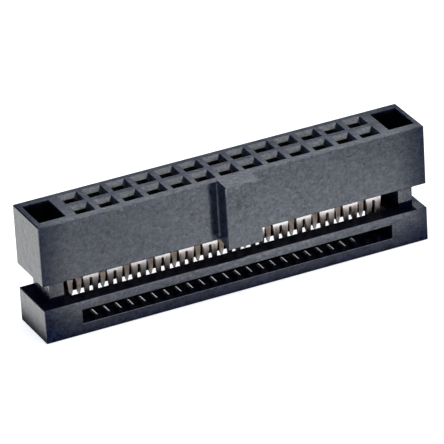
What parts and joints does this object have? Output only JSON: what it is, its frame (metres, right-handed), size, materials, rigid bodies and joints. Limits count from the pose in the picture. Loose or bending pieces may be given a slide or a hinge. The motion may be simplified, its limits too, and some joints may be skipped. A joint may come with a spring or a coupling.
{
  "type": "idc connector",
  "caption": "Two-row ribbon cable socket with polarising key, forked contacts and a latched press-on cover, in its open place.",
  "frame": {"origin": "centre of the cover's flat underside", "axes": "+X along the rows of contacts, -Y the side with the key, +Z towards the face that takes the header's pins"},
  "size_m": [0.0412, 0.0079, 0.0125],
  "materials": {
    "housing_plastic": "satin moulded thermoplastic, dark slate grey",
    "cover_plastic": "satin moulded thermoplastic, dark slate grey",
    "contact_metal": "stamped copper alloy with a pale bright plating"
  },
  "bodies": {
    "cover": {"cover": "cover_plastic"},
    "socket": {"housing": "housing_plastic", "contact_front_1": "contact_metal", "contact_front_2": "contact_metal", "contact_front_3": "contact_metal", "contact_front_4": "contact_metal", "contact_front_5": "contact_metal", "contact_front_6": "contact_metal", "contact_front_7": "contact_metal", "contact_front_8": "contact_metal", "contact_front_9": "contact_metal", "contact_front_10": "contact_metal", "contact_front_11": "contact_metal", "contact_front_12": "contact_metal", "contact_front_13": "contact_metal", "contact_back_1": "contact_metal", "contact_back_2": "contact_metal", "contact_back_3": "contact_metal", "contact_back_4": "contact_metal", "contact_back_5": "contact_metal", "contact_back_6": "contact_metal", "contact_back_7": "contact_metal", "contact_back_8": "contact_metal", "contact_back_9": "contact_metal", "contact_back_10": "contact_metal", "contact_back_11": "contact_metal", "contact_back_12": "contact_metal", "contact_back_13": "contact_metal"}
  },
  "joints": [
    {"name": "press_home", "type": "slide", "parent": "cover", "child": "socket", "axis": [0, 0, -1], "range_m": [0, 0.00231]}
  ]
}
